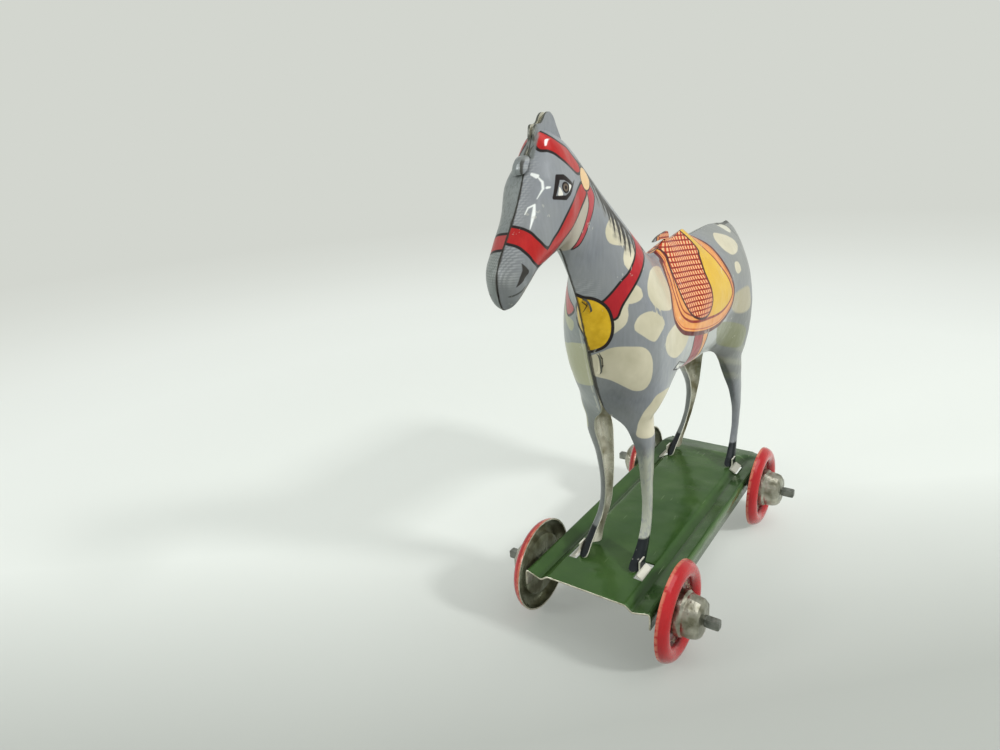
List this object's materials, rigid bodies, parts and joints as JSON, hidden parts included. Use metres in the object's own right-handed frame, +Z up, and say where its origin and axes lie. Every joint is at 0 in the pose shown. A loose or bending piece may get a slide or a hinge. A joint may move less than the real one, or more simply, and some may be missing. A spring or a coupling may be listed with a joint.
{
  "type": "tin horse toy",
  "caption": "Pressed tin horse in two printed halves, standing on a pressed green platform with red disc wheels on wire axles.",
  "frame": {"origin": "on the floor, under the middle of the toy's outline", "axes": "+Z up, the horse faces -Y, its left side is +X, and the axles lie along X"},
  "size_m": [0.0424, 0.0914, 0.0904],
  "materials": {
    "printed_tin": "glossy printed grey with cream dapples, bare tin inside",
    "green_tin": "glossy green lacquer, bare tin underneath",
    "red_tin": "glossy red lacquer, bare tin on the inner side",
    "white_metal": "rough cast",
    "steel_wire": "dull grey"
  },
  "bodies": {
    "horse_and_platform": {"horse_left_half": "printed_tin", "horse_right_half": "printed_tin", "platform": "green_tin"},
    "front_axle": {"front_axle": "steel_wire"},
    "rear_axle": {"rear_axle": "steel_wire"},
    "front_left_wheel": {"front_left_wheel": "red_tin", "front_left_hub": "white_metal"},
    "front_right_wheel": {"front_right_wheel": "red_tin", "front_right_hub": "white_metal"},
    "rear_left_wheel": {"rear_left_wheel": "red_tin", "rear_left_hub": "white_metal"},
    "rear_right_wheel": {"rear_right_wheel": "red_tin", "rear_right_hub": "white_metal"}
  },
  "joints": [
    {"name": "front_axle_turn", "type": "hinge", "parent": "horse_and_platform", "child": "front_axle", "pos_m": [0, -0.019, 0.009], "axis": [1, 0, 0], "continuous": true},
    {"name": "rear_axle_turn", "type": "hinge", "parent": "horse_and_platform", "child": "rear_axle", "pos_m": [0, 0.0306, 0.009], "axis": [1, 0, 0], "continuous": true},
    {"name": "front_left_wheel_turn", "type": "hinge", "parent": "front_axle", "child": "front_left_wheel", "pos_m": [0.0133, -0.019, 0.009], "axis": [1, 0, 0], "continuous": true},
    {"name": "front_right_wheel_turn", "type": "hinge", "parent": "front_axle", "child": "front_right_wheel", "pos_m": [-0.0133, -0.019, 0.009], "axis": [1, 0, 0], "continuous": true},
    {"name": "rear_left_wheel_turn", "type": "hinge", "parent": "rear_axle", "child": "rear_left_wheel", "pos_m": [0.0133, 0.0306, 0.009], "axis": [1, 0, 0], "continuous": true},
    {"name": "rear_right_wheel_turn", "type": "hinge", "parent": "rear_axle", "child": "rear_right_wheel", "pos_m": [-0.0133, 0.0306, 0.009], "axis": [1, 0, 0], "continuous": true}
  ]
}
